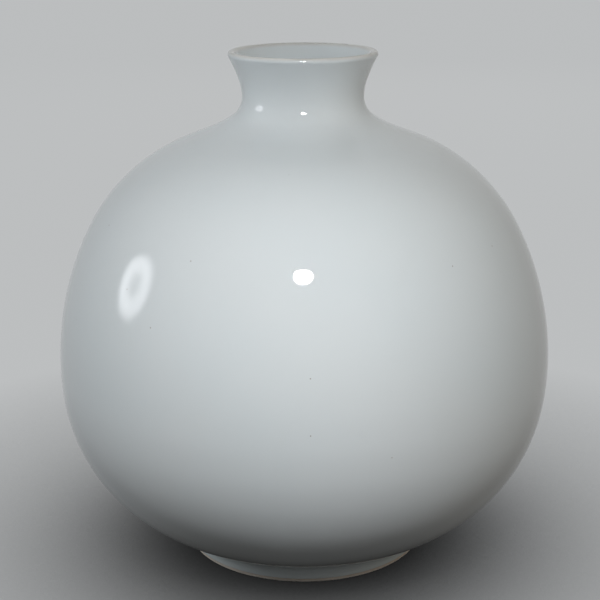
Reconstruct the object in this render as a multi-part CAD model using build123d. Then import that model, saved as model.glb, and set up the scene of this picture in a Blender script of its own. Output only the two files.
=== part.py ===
from build123d import *
import os
from math import atan2, cos, degrees, radians, sin, sqrt
from typing import NamedTuple

# A white porcelain moon jar: two thrown bowls luted rim to rim with slip, a luted collar and foot
# ring, and a glass glaze over everything but the edge it stands on. Millimetres and degrees, +Z up,
# origin on the table under the jar's axis. The outline sizes are those of the glazed jar.

# Belly: the widest point is where the rims of the two bowls meet
BELLY_RADIUS = 150.0
WAIST_HEIGHT = 119.5
LOWER_ARC_RATIO = 0.2
UPPER_ARC_RATIO = 0.92

# Shoulder: a straight stretch from the upper bowl's curve up to the cove of the neck
UPPER_BOWL_RISE = 135.0
SHOULDER_SLOPE = 21.7
SHOULDER_RUN = 17.0

# Neck and mouth: the cove, the narrowest point, the flare and the lip, which is rounder on its inside
NECK_RADIUS = 36.2
NECK_COVE_SPREAD = 20.5
NECK_COVE_RISE = 19.5
NECK_COVE_ARC_RATIO = 0.9
FLARE_HEIGHT = 26.6
FLARE_OVERHANG = 8.0
FLARE_LEAN = 28.5
FLARE_ARC_RATIO = 2.0
INNER_FLARE_ARC_RATIO = 1.0
LIP_OUTER_RADIUS = 2.0
LIP_INNER_RADIUS = 4.2

# Foot: a ring with a cove into the bowl, and the well inside the ring
FOOT_RADIUS = 73.8
FOOT_RING_WIDTH = 10.5
FOOT_COVE_RADIUS = 13.2
FOOT_COVE_SLOPE = 21.0
FOOT_BEVEL = 1.2
BARE_EDGE_HEIGHT = 2.5
WELL_FILLET_RADIUS = 2.5

# Walls and coats
CLAY_WALL = 5.5
FLOOR_THICKNESS = 7.0
FLOOR_EDGE_RADIUS = 60.0
GLAZE_THICKNESS = 0.5

# Luted joints: a ridge on the upper piece in a groove of the lower one, with slip between
SLIP_THICKNESS = 0.8
KEY_DEPTH = 1.6
KEY_WIDTH = 3.2
COLLAR_SKIRT = 8.0
FOOT_JOINT_DROP = 3.4

STRAIGHT_ENOUGH = 1e-6


class Station(NamedTuple):
    """A point of an outline in the half section (radius, height), and its heading in degrees."""

    point: Vector
    angle: float


def direction(angle):
    """Unit vector of a heading: 0 runs outwards, 90 runs up."""
    return Vector(cos(radians(angle)), sin(radians(angle)))


def shifted(station, along=0.0, left=0.0):
    """The station moved along its heading and to the left of it."""
    ahead = direction(station.angle)
    aside = direction(station.angle + 90)
    return Station(station.point + ahead * along + aside * left, station.angle)


def offset_chain(stations, left):
    """A parallel outline: each arc keeps its centre and changes its radius."""
    return [shifted(station, left=left) for station in stations]


def between(start, end, ratio):
    """The station where two tangent arcs meet on the way from start to end.

    ratio is the second arc's tangent length over the first's. The arcs meet on the line that joins
    the ends of the two tangents, which is as long as both tangents together.
    """
    step = end.point - start.point
    ahead_start = direction(start.angle)
    ahead_end = direction(end.angle)
    turn = 2 * ratio * (1 - ahead_start.dot(ahead_end))
    reach = step.dot(ahead_start + ahead_end * ratio)
    first = (sqrt(reach**2 + turn * step.dot(step)) - reach) / turn
    first_corner = start.point + ahead_start * first
    last_corner = end.point - ahead_end * (first * ratio)
    middle = last_corner - first_corner
    angle = degrees(atan2(middle.Y, middle.X))
    return Station(first_corner + middle / (1 + ratio), angle)


def edges_through(stations):
    """A tangent arc from each station to the next, or a line where the next lies straight ahead."""
    edges = []
    for start, end in zip(stations, stations[1:]):
        ahead = direction(start.angle)
        aside = (end.point - start.point).cross(ahead).Z
        if abs(aside) < STRAIGHT_ENOUGH:
            edges.append(Line(start.point, end.point))
        else:
            edges.append(TangentArc(start.point, end.point, tangent=ahead))
    return edges


def skin(stations, left):
    """Half section of an even coat between an outline and its parallel, with square ends."""
    other = offset_chain(stations, left)
    ends = [Line(stations[i].point, other[i].point) for i in (0, -1)]
    return make_face(edges_through(stations) + edges_through(other) + ends)


def joint_band(middle, reach):
    """Half section of the slip in a keyed joint, square across a wall that runs along its heading."""
    key = [(-reach, 0), (-KEY_WIDTH / 2, 0), (0, -KEY_DEPTH), (KEY_WIDTH / 2, 0), (reach, 0)]
    lower = [shifted(middle, along - SLIP_THICKNESS / 2, left).point for left, along in key]
    upper = [shifted(middle, along + SLIP_THICKNESS / 2, left).point for left, along in key]
    return make_face(Polyline(*lower, *reversed(upper), close=True))


def turned(section):
    """The solid that a half section sweeps about the jar's axis."""
    return revolve(Plane.XZ * section, Axis.Z)


# Outer outline of the glazed jar, from the foot's glaze edge up to the crest of the lip
foot_edge = Station(Vector(FOOT_RADIUS, BARE_EDGE_HEIGHT), 90)
foot_cove_end = Station(
    foot_edge.point
    + Vector(1 - sin(radians(FOOT_COVE_SLOPE)), cos(radians(FOOT_COVE_SLOPE))) * FOOT_COVE_RADIUS,
    FOOT_COVE_SLOPE,
)
waist = Station(Vector(BELLY_RADIUS, WAIST_HEIGHT), 90)
lower_turn = between(foot_cove_end, waist, LOWER_ARC_RATIO)

shoulder_angle = 180 - SHOULDER_SLOPE
cove_start_radius = NECK_RADIUS + NECK_COVE_SPREAD
shoulder_start_radius = cove_start_radius + SHOULDER_RUN * cos(radians(SHOULDER_SLOPE))
shoulder_start = Station(Vector(shoulder_start_radius, WAIST_HEIGHT + UPPER_BOWL_RISE), shoulder_angle)
upper_turn = between(waist, shoulder_start, UPPER_ARC_RATIO)
cove_start = shifted(shoulder_start, along=SHOULDER_RUN)

neck = Station(Vector(NECK_RADIUS, cove_start.point.Y + NECK_COVE_RISE), 90)
cove_turn = between(cove_start, neck, NECK_COVE_ARC_RATIO)
lip_top = neck.point + Vector(FLARE_OVERHANG - LIP_OUTER_RADIUS, FLARE_HEIGHT)
flare_angle = 90 - FLARE_LEAN
lip_outer_centre = Station(lip_top - Vector(0, LIP_OUTER_RADIUS), flare_angle)
lip_inner_centre = Station(lip_top - Vector(0, LIP_INNER_RADIUS), flare_angle)
lip_outside = shifted(lip_outer_centre, left=-LIP_OUTER_RADIUS)
lip_inside = shifted(lip_inner_centre, left=LIP_INNER_RADIUS)
flare_turn = between(neck, lip_outside, FLARE_ARC_RATIO)

lower_outline = [foot_cove_end, lower_turn, waist]
upper_outline = [upper_turn, shoulder_start, cove_start, cove_turn, neck]
bowl_outline = lower_outline + upper_outline
outer = [foot_edge, *bowl_outline, flare_turn, lip_outside, Station(lip_top, 180)]

# Inner outline of the glazed jar, from the middle of the floor up to the crest of the lip
glazed_wall = CLAY_WALL + 2 * GLAZE_THICKNESS
inner_bowl = offset_chain(bowl_outline, glazed_wall)
floor_edge = inner_bowl[0]
floor_height = floor_edge.point.Y - FLOOR_EDGE_RADIUS * (1 - cos(radians(FOOT_COVE_SLOPE)))
flat_radius = floor_edge.point.X - FLOOR_EDGE_RADIUS * sin(radians(FOOT_COVE_SLOPE))
flat_edge = Station(Vector(flat_radius, floor_height), 0)
floor_middle = Station(Vector(0, floor_height), 0)
inner_flare_turn = between(inner_bowl[-1], lip_inside, INNER_FLARE_ARC_RATIO)
inner = [floor_middle, flat_edge, *inner_bowl, inner_flare_turn, lip_inside, Station(lip_top, 0)]

# Outline of the glazed well inside the foot ring, from the axis down to its glaze edge
well_height = floor_height - FLOOR_THICKNESS
well_radius = FOOT_RADIUS - FOOT_RING_WIDTH
well = [
    Station(Vector(0, well_height), 0),
    Station(Vector(well_radius - WELL_FILLET_RADIUS, well_height), 0),
    Station(Vector(well_radius, well_height - WELL_FILLET_RADIUS), -90),
    Station(Vector(well_radius, BARE_EDGE_HEIGHT), -90),
]

# The clay: everything between the coats, down to the bevelled edge that the jar stands on
outer_clay = offset_chain(outer, GLAZE_THICKNESS)
inner_clay = offset_chain(inner, -GLAZE_THICKNESS)
well_clay = offset_chain(well, GLAZE_THICKNESS)
bare_inside = well_clay[-1].point
bare_outside = outer_clay[0].point
bare_edge = Polyline(
    bare_inside,
    (bare_inside.X, FOOT_BEVEL),
    (bare_inside.X + FOOT_BEVEL, 0),
    (bare_outside.X - FOOT_BEVEL, 0),
    (bare_outside.X, FOOT_BEVEL),
    bare_outside,
)
floor_axis = Line(inner_clay[0].point, well_clay[0].point)
clay_edges = edges_through(outer_clay) + edges_through(inner_clay) + edges_through(well_clay)
clay = make_face(clay_edges + [floor_axis, *bare_edge.edges()])

# The luted joints, each at the middle of the wall that it crosses
half_wall = glazed_wall / 2
foot_joint = Station(Vector((bare_inside.X + bare_outside.X) / 2, well_height - FOOT_JOINT_DROP), 90)
waist_joint = shifted(waist, left=half_wall)
neck_joint = shifted(cove_start, along=-COLLAR_SKIRT, left=half_wall)
foot_band = joint_band(foot_joint, FOOT_RING_WIDTH)
waist_band = joint_band(waist_joint, glazed_wall)
neck_band = joint_band(neck_joint, glazed_wall)

clay_pieces = (clay - foot_band - waist_band - neck_band).faces().sort_by(Axis.Y)
foot_ring, lower_bowl, upper_bowl, neck_collar = clay_pieces

sections = {
    "foot_ring": foot_ring,
    "foot_slip": clay & foot_band,
    "lower_bowl": lower_bowl,
    "waist_slip": clay & waist_band,
    "upper_bowl": upper_bowl,
    "neck_slip": clay & neck_band,
    "neck_collar": neck_collar,
    "outer_glaze": skin(outer, GLAZE_THICKNESS),
    "inner_glaze": skin(inner, -GLAZE_THICKNESS),
    "well_glaze": skin(well, GLAZE_THICKNESS),
}

os.makedirs("parts", exist_ok=True)
for name, section in sections.items():
    export_step(turned(section), os.path.join("parts", name + ".step"))
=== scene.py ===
from math import asin, ceil, cos, pi, radians, sin, sqrt

import bpy
import numpy as np
from mathutils import Matrix, Vector


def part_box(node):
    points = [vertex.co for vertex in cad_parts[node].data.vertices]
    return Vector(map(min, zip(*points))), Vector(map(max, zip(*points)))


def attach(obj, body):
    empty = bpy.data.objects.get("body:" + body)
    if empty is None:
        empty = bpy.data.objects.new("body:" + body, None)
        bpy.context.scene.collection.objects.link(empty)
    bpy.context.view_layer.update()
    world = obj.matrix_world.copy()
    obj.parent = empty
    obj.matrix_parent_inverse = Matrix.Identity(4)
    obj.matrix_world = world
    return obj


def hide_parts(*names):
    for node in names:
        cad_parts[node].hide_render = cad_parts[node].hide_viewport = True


# A white porcelain moon jar under soft light. Metres, +Z up the axis it was thrown about, -Y to the viewer.
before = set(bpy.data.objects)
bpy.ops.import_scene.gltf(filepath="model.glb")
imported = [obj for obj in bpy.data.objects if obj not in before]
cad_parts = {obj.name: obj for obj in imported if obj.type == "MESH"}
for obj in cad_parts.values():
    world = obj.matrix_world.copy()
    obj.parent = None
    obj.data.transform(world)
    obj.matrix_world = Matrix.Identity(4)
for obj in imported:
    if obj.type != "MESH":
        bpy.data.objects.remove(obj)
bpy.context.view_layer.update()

# Camera: a long lens a little above the mouth and less than a metre away, tilted down on the jar.
# Its height and distance are those at which the mouth and the foot open as far as in the picture.
SENSOR_WIDTH = 36.0
LENS = 84.0
VIEWPOINT = (-0.00236, -0.8277, 0.3991)
TILT_DOWN = radians(16.475)
ROLL = radians(-0.27)

camera_data = bpy.data.cameras.new("camera")
camera_data.sensor_width = SENSOR_WIDTH
camera_data.lens = LENS
camera = bpy.data.objects.new("camera", camera_data)
camera.location = VIEWPOINT
pitch = Matrix.Rotation(pi / 2 - TILT_DOWN, 3, "X")
camera.rotation_euler = (pitch @ Matrix.Rotation(ROLL, 3, "Z")).to_euler()
bpy.context.scene.collection.objects.link(camera)
bpy.context.scene.camera = camera
bpy.context.scene.view_settings.view_transform = "Standard"

# Foot ring: a thrown porcelain ring, luted under the lower bowl and trimmed on the wheel. Its glaze is
# wiped off where it stands, and the bare clay there is softly rounded by the sponge.
FOOT_RING_WIDTH = 0.0105
FOOT_COVE_RADIUS = 0.0132
SPONGED_EDGE_RADIUS = 0.0012
GLAZE_THICKNESS = 0.0005
KEY_DEPTH = 0.0016
KEY_WIDTH = 0.0032
FOOT_TURNS = 240
FOOT_STEP = 0.002
FOOT_BEND = radians(10)
FINE_BEND = radians(5)
SHARP_EDGE = radians(35)

DULL_CLAY = (0.76, 0.71, 0.63, 1)
WHITE_CLAY = (0.84, 0.80, 0.74, 1)
BROWN_GRIT = (0.50, 0.42, 0.34, 1)
ORANGE_BLUSH = (0.46, 0.36, 0.27, 1)
GRIT_PER_METRE = 1100
GRIT_SHOWS = (0.66, 0.74)
GRIT_RELIEF = 0.00012
NOISE_SPAN = (0.2, 0.8)
CLAY_ROUGHNESS = (0.62, 0.85)
CLAY_CLOUDS_PER_METRE = 45
BLUSH_BELOW_EDGE = 0.0022
BLUSH_ABOVE_EDGE = 0.001

# Blender's Mix node has sockets for every kind of value: these are the places of those for colours.
MIX_FACTOR = 0
MIX_COLOUR_A = 6
MIX_COLOUR_B = 7
MIX_COLOUR_RESULT = 2


def walk(stations, step, bend=FINE_BEND):
    """Points (radius, height, heading) along a chain of such stations, at most step and bend apart.

    Between two stations the heading turns evenly, so the way is a circular arc, or a line where it does
    not turn. After a share u of a way of length L that turns by d, the point lies L u sinc(u d / 2) from
    the start, in the direction of the first heading plus u d / 2, and the heading has turned by u d.
    """
    ways = []
    for (r0, z0, a0), (r1, z1, a1) in zip(stations, stations[1:]):
        turn = a1 - a0
        length = np.hypot(r1 - r0, z1 - z0) / np.sinc(turn / (2 * pi))
        count = max(ceil(length / step), ceil(abs(turn) / bend))
        share = np.arange(count) / count
        reach = length * share * np.sinc(share * turn / (2 * pi))
        toward = a0 + share * turn / 2
        way = [r0 + reach * np.cos(toward), z0 + reach * np.sin(toward), a0 + share * turn]
        ways.append(np.stack(way, axis=1))
    return np.concatenate([*ways, [stations[-1]]])


def turned(name, radius, height, turns):
    """The surface that a half section sweeps about the axis, with the solid on the left of the section.

    Row i of the section at turn j gives the vertex (r cos a, r sin a, z), a = 2 pi j / turns, and four
    neighbours in that grid make a face. The last row joins the first, or, where both lie on the axis,
    each of the two closes in a fan of triangles about one vertex.
    """
    angle = np.arange(turns) * 2 * pi / turns
    radius, height = (np.broadcast_to(value, (len(value), turns)) for value in (radius, height))
    grid = np.stack([radius * np.cos(angle), radius * np.sin(angle), height], axis=-1)
    meets_axis = np.allclose(radius[[0, -1]], 0)
    rings = grid[1:-1] if meets_axis else grid
    index = np.arange(rings.shape[0] * turns).reshape(-1, turns)
    ahead = np.roll(index, -1, axis=1)
    above = np.roll(index, -1, axis=0)
    faces = np.stack([index, ahead, np.roll(ahead, -1, axis=0), above], axis=-1)
    points = rings.reshape(-1, 3)
    fans = []
    if meets_axis:
        first = np.full(turns, len(points))
        points = np.concatenate([points, grid[[0, -1], 0]])
        faces = faces[:-1]
        fans = np.stack([first, ahead[0], index[0]], axis=1).tolist()
        fans += np.stack([index[-1], ahead[-1], first + 1], axis=1).tolist()
    mesh = bpy.data.meshes.new(name)
    mesh.from_pydata(points.tolist(), [], faces.reshape(-1, 4).tolist() + fans)
    mesh.shade_smooth()
    mesh.set_sharp_from_angle(angle=SHARP_EDGE)
    piece = bpy.data.objects.new(name, mesh)
    bpy.context.scene.collection.objects.link(piece)
    return piece


def add_node(tree, kind, inputs, **options):
    """A shader node with its options set and each input fed by a socket or with a constant."""
    node = tree.nodes.new("ShaderNode" + kind)
    for option, value in options.items():
        setattr(node, option, value)
    for key, value in inputs.items():
        if isinstance(value, bpy.types.NodeSocket):
            tree.links.new(value, node.inputs[key])
        else:
            node.inputs[key].default_value = value
    return node


def new_finish(name):
    """An empty material: its node tree and the socket with the piece's own coordinates in metres."""
    material = bpy.data.materials.new(name)
    material.use_nodes = True
    tree = material.node_tree
    tree.nodes.clear()
    return material, tree, add_node(tree, "TexCoord", {}).outputs["Object"]


def coated(tree, inputs):
    """Ends a node tree with one principled surface."""
    surface = add_node(tree, "BsdfPrincipled", inputs)
    add_node(tree, "OutputMaterial", {"Surface": surface.outputs["BSDF"]})


def noise(tree, place, per_metre, detail=2.0, roughness=0.5):
    """Cloudy noise from 0 to 1, with so many patches to the metre."""
    inputs = {"Vector": place, "Scale": per_metre, "Detail": detail, "Roughness": roughness}
    return add_node(tree, "TexNoise", inputs).outputs["Fac"]


def ramp(tree, value, start, end, to_start=0.0, to_end=1.0):
    """A smooth step from to_start at start to to_end at end."""
    inputs = {"Value": value, "From Min": start, "From Max": end, "To Min": to_start, "To Max": to_end}
    return add_node(tree, "MapRange", inputs, interpolation_type="SMOOTHSTEP").outputs["Result"]


def combined(tree, operation, first, second):
    """One arithmetic step on two values."""
    return add_node(tree, "Math", {0: first, 1: second}, operation=operation).outputs["Value"]


def blend(tree, share, first, second):
    """The first colour, going over to the second as share goes from 0 to 1."""
    inputs = {MIX_FACTOR: share, MIX_COLOUR_A: first, MIX_COLOUR_B: second}
    return add_node(tree, "Mix", inputs, data_type="RGBA").outputs[MIX_COLOUR_RESULT]


def bare_porcelain(name, glaze_edge):
    """Fired clay with no glaze: warm white, matt and gritty, blushed orange beside the glaze edge."""
    material, tree, place = new_finish(name)
    height = add_node(tree, "SeparateXYZ", {0: place}).outputs["Z"]
    grit = noise(tree, place, GRIT_PER_METRE, detail=4, roughness=0.7)
    cloud = noise(tree, place, CLAY_CLOUDS_PER_METRE)
    blush_below = ramp(tree, height, glaze_edge - BLUSH_BELOW_EDGE, glaze_edge)
    blush_above = ramp(tree, height, glaze_edge + BLUSH_ABOVE_EDGE, glaze_edge)
    blush = combined(tree, "MULTIPLY", combined(tree, "MULTIPLY", blush_below, blush_above), cloud)
    clay = blend(tree, cloud, DULL_CLAY, WHITE_CLAY)
    speckled = blend(tree, ramp(tree, grit, *GRIT_SHOWS), clay, BROWN_GRIT)
    colour = blend(tree, blush, speckled, ORANGE_BLUSH)
    rough = ramp(tree, grit, *NOISE_SPAN, *CLAY_ROUGHNESS)
    relief = add_node(tree, "Bump", {"Height": grit, "Distance": GRIT_RELIEF})
    coated(tree, {"Base Color": colour, "Roughness": rough, "Normal": relief.outputs["Normal"]})
    return material


ring_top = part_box("foot_ring")[1].z
bare_edge_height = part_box("outer_glaze")[0].z
well_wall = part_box("well_glaze")[1].x
foot_wall = well_wall + FOOT_RING_WIDTH - 2 * GLAZE_THICKNESS
ring_middle = (well_wall + foot_wall) / 2
cove_radius = FOOT_COVE_RADIUS + GLAZE_THICKNESS
cove_turn = asin((ring_top - bare_edge_height) / cove_radius)
sponged_edge = [
    (well_wall, SPONGED_EDGE_RADIUS, -pi / 2),
    (well_wall + SPONGED_EDGE_RADIUS, 0, 0),
    (foot_wall - SPONGED_EDGE_RADIUS, 0, 0),
    (foot_wall, SPONGED_EDGE_RADIUS, pi / 2),
    (foot_wall, bare_edge_height, pi / 2),
    (foot_wall + cove_radius * (1 - cos(cove_turn)), ring_top, pi / 2 - cove_turn),
]
key_groove = [
    (ring_middle + KEY_WIDTH / 2, ring_top),
    (ring_middle, ring_top - KEY_DEPTH),
    (ring_middle - KEY_WIDTH / 2, ring_top),
    (well_wall, ring_top),
]
ring_section = np.concatenate([walk(sponged_edge, FOOT_STEP, FOOT_BEND)[:, :2], key_groove])
ring_clay = bare_porcelain("bare_porcelain", bare_edge_height)
foot_ring = turned("bare_foot_ring", ring_section[:, :1], ring_section[:, 1:], FOOT_TURNS)
foot_ring.data.materials.append(ring_clay)
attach(foot_ring, "root")
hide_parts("foot_ring")

# Bowls and collar: two wide bowls and a collar, each thrown by itself in the same clay and joined while
# leather hard. They lie between the coats of glaze, so the clay is the foot ring's.
for name in ("lower_bowl", "upper_bowl", "neck_collar"):
    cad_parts[name].data.materials.clear()
    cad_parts[name].data.materials.append(ring_clay)

# Luting slip: liquid clay brushed into the keyed joints of the foot, the waist and the neck. It dries
# whiter and smoother than the thrown clay and keeps small pits where air was trapped.
DULL_SLIP = (0.78, 0.75, 0.70, 1)
WHITE_SLIP = (0.84, 0.82, 0.78, 1)
DARK_PIT = (0.55, 0.50, 0.44, 1)
PITS_PER_METRE = 420
PIT_RIM = (0.28, 0.12)
PIT_DEPTH = 0.0002
SLIP_ROUGHNESS = (0.6, 0.75)
SLIP_CLOUDS_PER_METRE = 160

slip_finish, tree, place = new_finish("luting_slip")
pit_cells = add_node(tree, "TexVoronoi", {"Vector": place, "Scale": PITS_PER_METRE})
pits = ramp(tree, pit_cells.outputs["Distance"], *PIT_RIM)
slip_cloud = noise(tree, place, SLIP_CLOUDS_PER_METRE, detail=4)
slip_relief = add_node(tree, "Bump", {"Height": pits, "Distance": PIT_DEPTH}, invert=True)
slip_inputs = {
    "Base Color": blend(tree, pits, blend(tree, slip_cloud, DULL_SLIP, WHITE_SLIP), DARK_PIT),
    "Roughness": ramp(tree, slip_cloud, *NOISE_SPAN, *SLIP_ROUGHNESS),
    "Normal": slip_relief.outputs["Normal"],
}
coated(tree, slip_inputs)
for name in ("foot_slip", "waist_slip", "neck_slip"):
    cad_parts[name].data.materials.clear()
    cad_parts[name].data.materials.append(slip_finish)

# Outer glaze: a clear feldspar glass, faintly blue, dipped over the whole outside and half a millimetre
# thick. It follows the swells of the throwing, runs thin over the lip and gathers in the cove of the foot.
SLIP_THICKNESS = 0.0008
FOOT_COVE_SLOPE = radians(21)
LOWER_ARC_RATIO = 0.2
UPPER_ARC_RATIO = 0.92
SHOULDER_SLOPE = radians(21.7)
SHOULDER_RUN = 0.017
NECK_RADIUS = 0.0362
NECK_COVE_SPREAD = 0.0205
NECK_COVE_RISE = 0.0195
NECK_COVE_ARC_RATIO = 0.9
FLARE_HEIGHT = 0.0266
FLARE_OVERHANG = 0.008
FLARE_LEAN = radians(28.5)
FLARE_ARC_RATIO = 2.0
LIP_OUTER_RADIUS = 0.002

OVAL_DEPTH = 0.00007
OVAL_TURN = 0.7
CLIMB_DEPTH = 0.00004
CLIMB_PITCH = 0.13
LEAN_DEPTH = 0.00003
LEAN_PITCH = 0.071
FINGER_DEPTH = 0.00001
FINGER_PITCH = 0.019
SWELL_FADE = 0.02

OUTER_TURNS = 360
OUTER_STEP = 0.0024
CLAY_SIDE_STEP = 0.012
CLAY_SIDE_BEND = radians(12)
BEAD_STEP = 0.0001
BEAD_BEND = radians(30)

BLUE_WHITE = (0.690, 0.751, 0.775, 1)
MILK_WHITE = (0.712, 0.762, 0.781, 1)
GATHERED_GREEN = (0.60, 0.69, 0.69, 1)
# Warm tint of the lip crest: partly thin glaze, partly a painted warm reflection.
WARM_LIP_AND_REFLECTION = (0.78, 0.74, 0.66, 1)
IRON_BROWN = (0.17, 0.12, 0.08, 1)
GLASS_IOR = 1.5
GLASS_ROUGHNESS = (0.02, 0.045)
CLOUD_MIDDLE = (0.3, 0.7)
DRIFTS_PER_METRE = 9
DULL_PATCHES_PER_METRE = 30
SPECKS_PER_METRE = 55
SPECK_RIM = (0.026, 0.010)
SPECK_STRENGTH = 0.8
PEEL_PER_METRE = 170
PEEL_RELIEF = 0.000008
GATHERED_SHARE = 0.4
GATHERED_BELOW_COVE = (1.0, 0.45)
GATHERED_ROUND_FOOT = (1.14, 1.02)
THIN_LIP_AND_REFLECTION_SHARE = 0.5
THIN_LIP_AND_REFLECTION_DEPTH = 0.0022


def moved(station, along=0.0, left=0.0):
    """The station moved along its heading and to the left of it."""
    r, z, a = station
    return r + along * cos(a) - left * sin(a), z + along * sin(a) + left * cos(a), a


def meeting(start, end, ratio):
    """The station where two tangent arcs from start to end meet.

    ratio is the second arc's tangent length over the first's. The arcs meet on the line that joins the
    ends of the two tangents, which is as long as both tangents together.
    """
    first_point, last_point = np.array(start[:2]), np.array(end[:2])
    leave, arrive = (np.array([cos(a), sin(a)]) for a in (start[2], end[2]))
    step = last_point - first_point
    turn = 2 * ratio * (1 - leave @ arrive)
    reach = step @ (leave + ratio * arrive)
    tangent = (sqrt(reach**2 + turn * step @ step) - reach) / turn
    first_corner = first_point + tangent * leave
    line = last_point - ratio * tangent * arrive - first_corner
    r, z = first_corner + line / (1 + ratio)
    return r, z, np.arctan2(line[1], line[0])


def thrown_swells(section, angle):
    """How far the face lies inside its true outline: a depth below zero per section point and angle.

    The sum of a slight oval, swells that climb and lean round the wall and the shallow spiral of the
    fingers, taken down to at most nothing, and fading out in a smooth step at both ends of the section.
    """
    steps = np.hypot(*np.diff(section[:, :2], axis=0).T)
    way = np.concatenate([[0], np.cumsum(steps)])[:, None]
    oval = OVAL_DEPTH * np.cos(2 * angle + OVAL_TURN)
    climbing = CLIMB_DEPTH * np.sin(3 * angle + 2 * pi * way / CLIMB_PITCH)
    leaning = LEAN_DEPTH * np.sin(2 * pi * way / LEAN_PITCH - angle)
    fingers = FINGER_DEPTH * np.sin(angle + 2 * pi * way / FINGER_PITCH)
    highest = OVAL_DEPTH + CLIMB_DEPTH + LEAN_DEPTH + FINGER_DEPTH
    inward = np.clip(np.minimum(way, way[-1] - way) / SWELL_FADE, 0, 1)
    fade = inward**2 * (3 - 2 * inward)
    return fade * (oval + climbing + leaning + fingers - highest)


def moon_white_glaze(name, lip_height, cove_height, foot_radius):
    """Clear glass on white clay: blue-white, green where gathered, iron specked, lip warm from thin glaze
    and painted reflection.
    """
    material, tree, place = new_finish(name)
    height = add_node(tree, "SeparateXYZ", {0: place}).outputs["Z"]
    level = add_node(tree, "VectorMath", {0: place, 1: (1, 1, 0)}, operation="MULTIPLY")
    from_axis = add_node(tree, "VectorMath", {0: level.outputs["Vector"]}, operation="LENGTH")
    drift = ramp(tree, noise(tree, place, DRIFTS_PER_METRE, detail=3), *CLOUD_MIDDLE)
    low = ramp(tree, height, *(cove_height * share for share in GATHERED_BELOW_COVE))
    foot_rings = [foot_radius * share for share in GATHERED_ROUND_FOOT]
    near_foot = ramp(tree, from_axis.outputs["Value"], *foot_rings)
    gathered = combined(tree, "MULTIPLY", combined(tree, "MULTIPLY", low, near_foot), GATHERED_SHARE)
    # Warm band at the lip crest: partly thin glaze over the clay, partly a painted warm reflection.
    near_crest = ramp(tree, height, lip_height - THIN_LIP_AND_REFLECTION_DEPTH, lip_height)
    thin_glaze_and_reflection = combined(tree, "MULTIPLY", near_crest, THIN_LIP_AND_REFLECTION_SHARE)
    speck_cells = add_node(tree, "TexVoronoi", {"Vector": place, "Scale": SPECKS_PER_METRE})
    specks = ramp(tree, speck_cells.outputs["Distance"], *SPECK_RIM, to_end=SPECK_STRENGTH)
    colour = blend(tree, drift, BLUE_WHITE, MILK_WHITE)
    for share, tint in ((gathered, GATHERED_GREEN), (thin_glaze_and_reflection, WARM_LIP_AND_REFLECTION), (specks, IRON_BROWN)):
        colour = blend(tree, share, colour, tint)
    dull = noise(tree, place, DULL_PATCHES_PER_METRE, detail=4)
    peel = noise(tree, place, PEEL_PER_METRE, detail=1)
    relief = add_node(tree, "Bump", {"Height": peel, "Distance": PEEL_RELIEF})
    glass_inputs = {
        "Base Color": colour,
        "Roughness": ramp(tree, dull, *CLOUD_MIDDLE, *GLASS_ROUGHNESS),
        "IOR": GLASS_IOR,
        "Normal": relief.outputs["Normal"],
    }
    coated(tree, glass_inputs)
    return material


glaze_low, glaze_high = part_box("outer_glaze")
belly_radius = min(glaze_high.x, glaze_high.y)
waist_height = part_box("lower_bowl")[1].z + SLIP_THICKNESS / 2
foot_radius = foot_wall + GLAZE_THICKNESS
lip_top = glaze_high.z
lip_crest = NECK_RADIUS + FLARE_OVERHANG - LIP_OUTER_RADIUS
neck_height = lip_top - FLARE_HEIGHT
flare_heading = pi / 2 - FLARE_LEAN

foot_edge = (foot_radius, glaze_low.z + GLAZE_THICKNESS / 2, pi / 2)
foot_cove_end = (
    foot_radius + FOOT_COVE_RADIUS * (1 - sin(FOOT_COVE_SLOPE)),
    glaze_low.z + FOOT_COVE_RADIUS * cos(FOOT_COVE_SLOPE),
    FOOT_COVE_SLOPE,
)
waist = (belly_radius, waist_height, pi / 2)
neck = (NECK_RADIUS, neck_height, pi / 2)
cove_start = (NECK_RADIUS + NECK_COVE_SPREAD, neck_height - NECK_COVE_RISE, pi - SHOULDER_SLOPE)
shoulder_start = moved(cove_start, along=-SHOULDER_RUN)
lip_outside = moved((lip_crest, lip_top - LIP_OUTER_RADIUS, flare_heading), left=-LIP_OUTER_RADIUS)
bowl_outline = [
    foot_cove_end,
    meeting(foot_cove_end, waist, LOWER_ARC_RATIO),
    waist,
    meeting(waist, shoulder_start, UPPER_ARC_RATIO),
    shoulder_start,
    cove_start,
    meeting(cove_start, neck, NECK_COVE_ARC_RATIO),
    neck,
]
outer_outline = [
    foot_edge,
    *bowl_outline,
    meeting(neck, lip_outside, FLARE_ARC_RATIO),
    lip_outside,
    (lip_crest, lip_top, pi),
]
clay_outline = [moved(station, left=GLAZE_THICKNESS) for station in outer_outline]
clay_end = clay_outline[0]
edge_bead = walk([(clay_end[0], clay_end[1], -pi / 2), foot_edge], BEAD_STEP, BEAD_BEND)[1:-1]
outer_face = walk(outer_outline, OUTER_STEP)
clay_side = walk(clay_outline, CLAY_SIDE_STEP, CLAY_SIDE_BEND)[::-1]
outer_section = np.concatenate([outer_face, clay_side, edge_bead])
outer_relief = np.zeros((len(outer_section), OUTER_TURNS))
outer_relief[: len(outer_face)] = thrown_swells(outer_face, np.arange(OUTER_TURNS) * 2 * pi / OUTER_TURNS)
outer_glaze = turned(
    "outer_glaze_coat",
    outer_section[:, :1] + outer_relief * np.sin(outer_section[:, 2:]),
    outer_section[:, 1:2] - outer_relief * np.cos(outer_section[:, 2:]),
    OUTER_TURNS,
)
glaze = moon_white_glaze("moon_white_glaze", lip_top, foot_cove_end[1], foot_radius)
outer_glaze.data.materials.append(glaze)
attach(outer_glaze, "root")
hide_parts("outer_glaze")

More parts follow.
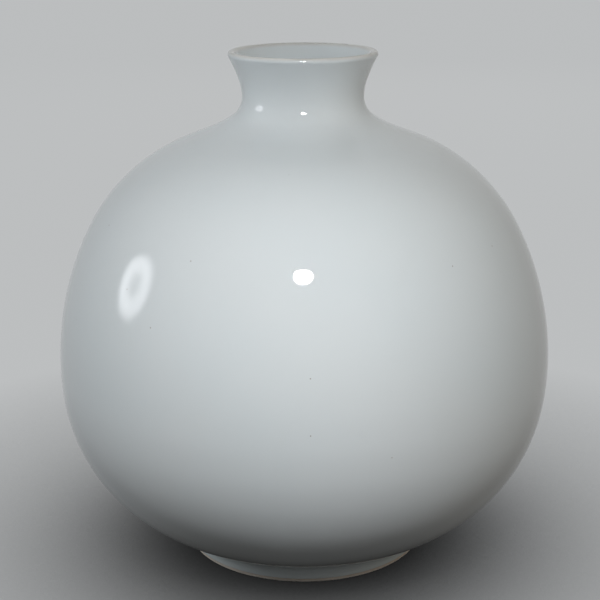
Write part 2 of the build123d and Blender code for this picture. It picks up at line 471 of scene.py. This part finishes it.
# Inner glaze: the same glass, poured in and swilled round before the outside was dipped. It lines the
# floor, the wall and the neck, and meets the outer coat on the crest of the lip.
CLAY_WALL = 0.0055
FLOOR_EDGE_RADIUS = 0.06
INNER_FLARE_ARC_RATIO = 1.0
LIP_INNER_RADIUS = 0.0042
INNER_TURNS = 288
INNER_STEP = 0.003

wall = CLAY_WALL + 2 * GLAZE_THICKNESS
inner_bowl = [moved(station, left=wall) for station in bowl_outline]
floor_edge = inner_bowl[0]
floor_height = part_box("inner_glaze")[0].z + GLAZE_THICKNESS
flat_radius = floor_edge[0] - FLOOR_EDGE_RADIUS * sin(FOOT_COVE_SLOPE)
lip_inside = moved((lip_crest, lip_top - LIP_INNER_RADIUS, flare_heading), left=LIP_INNER_RADIUS)
inner_outline = [
    (0.0, floor_height, 0.0),
    (flat_radius, floor_height, 0.0),
    *inner_bowl,
    meeting(inner_bowl[-1], lip_inside, INNER_FLARE_ARC_RATIO),
    lip_inside,
    (lip_crest, lip_top, 0.0),
]
lining_outline = [moved(station, left=-GLAZE_THICKNESS) for station in inner_outline]
lining = walk(lining_outline, CLAY_SIDE_STEP, CLAY_SIDE_BEND)
inner_face = walk(inner_outline, INNER_STEP)[::-1]
inner_section = np.concatenate([lining, inner_face])
inner_glaze = turned("inner_glaze_coat", inner_section[:, :1], inner_section[:, 1:2], INNER_TURNS)
inner_glaze.data.materials.append(glaze)
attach(inner_glaze, "root")
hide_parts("inner_glaze")

# Well glaze: the glass on the base inside the foot ring, left there when the jar was dipped foot first.
# The wiped bearing edge parts it from the outer coat.
WELL_FILLET_RADIUS = 0.0025
WELL_TURNS = 240

well_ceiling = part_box("well_glaze")[1].z - GLAZE_THICKNESS
well_radius = well_wall - GLAZE_THICKNESS
well_outline = [
    (0.0, well_ceiling, 0.0),
    (well_radius - WELL_FILLET_RADIUS, well_ceiling, 0.0),
    (well_radius, well_ceiling - WELL_FILLET_RADIUS, -pi / 2),
    (well_radius, bare_edge_height, -pi / 2),
]
well_clay_outline = [moved(station, left=GLAZE_THICKNESS) for station in well_outline]
well_face = walk(well_outline, INNER_STEP)
well_clay_side = walk(well_clay_outline, CLAY_SIDE_STEP, CLAY_SIDE_BEND)[::-1]
well_section = np.concatenate([well_face, well_clay_side])
well_glaze = turned("well_glaze_coat", well_section[:, :1], well_section[:, 1:2], WELL_TURNS)
well_glaze.data.materials.append(glaze)
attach(well_glaze, "root")
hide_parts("well_glaze")

# Floor: a wide matt sheet in pale cool grey that the jar stands on, plain to the horizon. It shows pale to
# the eye and in the glaze, shaded where the jar is close, and throws little light back up under the jar.
FLOOR_REACH = 30.0
PALE = (0.50, 0.512, 0.518, 1)
SEEN_FLOOR = (0.01, 0.01, 0.01, 1)
LIT_FLOOR = (0.04, 0.037, 0.033, 1)
FLOOR_ROUGHNESS = 0.9
SHADE_REACH = 0.25
SHADE_STRENGTH = 1.9
SHADE_RAYS = 16


def seen(tree):
    """1 where a ray looks: from the eye, in a mirror or through glass. 0 where it gathers light."""
    path = add_node(tree, "LightPath", {}).outputs
    eye_or_mirror = combined(tree, "MAXIMUM", path["Is Camera Ray"], path["Is Glossy Ray"])
    return combined(tree, "MAXIMUM", eye_or_mirror, path["Is Transmission Ray"])


corners = [(x * FLOOR_REACH, y * FLOOR_REACH, 0) for x, y in ((-1, -1), (1, -1), (1, 1), (-1, 1))]
floor_mesh = bpy.data.meshes.new("floor")
floor_mesh.from_pydata(corners, [], [(0, 1, 2, 3)])
floor = bpy.data.objects.new("floor", floor_mesh)
bpy.context.scene.collection.objects.link(floor)
floor_finish, tree, _ = new_finish("pale_floor")
looked_at = seen(tree)
open_sky = add_node(tree, "AmbientOcclusion", {"Distance": SHADE_REACH}, samples=SHADE_RAYS).outputs["AO"]
unshaded = combined(tree, "POWER", open_sky, SHADE_STRENGTH)
floor_inputs = {
    "Base Color": blend(tree, looked_at, LIT_FLOOR, SEEN_FLOOR),
    "Roughness": FLOOR_ROUGHNESS,
    "Specular IOR Level": 0.0,
    "Emission Color": PALE,
    "Emission Strength": combined(tree, "MULTIPLY", looked_at, unshaded),
}
coated(tree, floor_inputs)
floor_mesh.materials.append(floor_finish)

# Light: a small round lamp above the lens and a wide dish on the left that shines as a ring, both mirrored
# in the glaze, and fills on the left, in front, on the warm right and behind, which only lift the shades.
JAR_MIDDLE = (0, 0, 0.15)
WHITE_LIGHT = (1, 1, 1)
KEY_PLACE = (-0.006, -0.56, 0.592)
KEY_AIM = (0, -0.15, 0.07)
KEY_BEAM = radians(90)
DISH_PLACE = (-1.318, -0.03, 0.545)
DISH_TINT = (0.94, 0.96, 1)
LAMP_MIDDLE = (0.5, 0.5, 0)
RING_MIDDLE_SHARE = 0.45
RING_INSIDE = (0.08, 0.24)
RING_OUTSIDE = (0.5, 0.29)
DIM_ROOM = (0.05, 0.046, 0.041, 1)


def round_lamp(name, place, width, power, colour=WHITE_LIGHT, aim=JAR_MIDDLE, mirrored=False):
    """A round flat lamp, width across, facing the point aim. The glaze shows it only if it is mirrored."""
    data = bpy.data.lights.new(name, "AREA")
    data.shape = "DISK"
    data.size = width
    data.energy = power
    data.color = colour
    lamp = bpy.data.objects.new(name, data)
    lamp.location = place
    lamp.rotation_euler = (Vector(aim) - lamp.location).to_track_quat("-Z", "Y").to_euler()
    lamp.visible_camera = False
    lamp.visible_glossy = mirrored
    bpy.context.scene.collection.objects.link(lamp)
    return data


def shine_as_ring(data, middle_share):
    """Dims a round lamp to middle_share at its centre and to nothing at its edge, both in smooth steps."""
    data.use_nodes = True
    tree = data.node_tree
    spot = add_node(tree, "NewGeometry", {}).outputs["Parametric"]
    distance = add_node(tree, "VectorMath", {0: spot, 1: LAMP_MIDDLE}, operation="DISTANCE")
    from_middle = distance.outputs["Value"]
    hollow = ramp(tree, from_middle, *RING_INSIDE, to_start=middle_share)
    edge = ramp(tree, from_middle, *RING_OUTSIDE)
    tree.links.new(combined(tree, "MULTIPLY", hollow, edge), tree.nodes["Emission"].inputs["Strength"])


key = round_lamp("key", KEY_PLACE, width=0.094, power=0.74, aim=KEY_AIM, mirrored=True)
key.spread = KEY_BEAM
dish = round_lamp("left_dish", DISH_PLACE, width=0.56, power=3.75, colour=DISH_TINT, mirrored=True)
shine_as_ring(dish, RING_MIDDLE_SHARE)
round_lamp("left_fill", (-1.3, 0.3, 0.4), width=0.6, power=4.2, colour=(0.97, 0.99, 1))
round_lamp("front_fill", (0.1, -1.2, 0.4), width=0.5, power=1.1, colour=(0.99, 0.99, 1))
round_lamp("right_fill", (1.3, -0.1, 0.5), width=0.8, power=2.6, colour=(1, 0.88, 0.74))
round_lamp("back_fill", (0.2, 2.2, 1.0), width=0.8, power=28.0, colour=(1, 0.99, 0.97))

world = bpy.data.worlds.new("room")
world.use_nodes = True
tree = world.node_tree
tree.nodes.clear()
room_tone = blend(tree, seen(tree), DIM_ROOM, PALE)
room = add_node(tree, "Background", {"Color": room_tone})
add_node(tree, "OutputWorld", {"Surface": room.outputs["Background"]})
bpy.context.scene.world = world
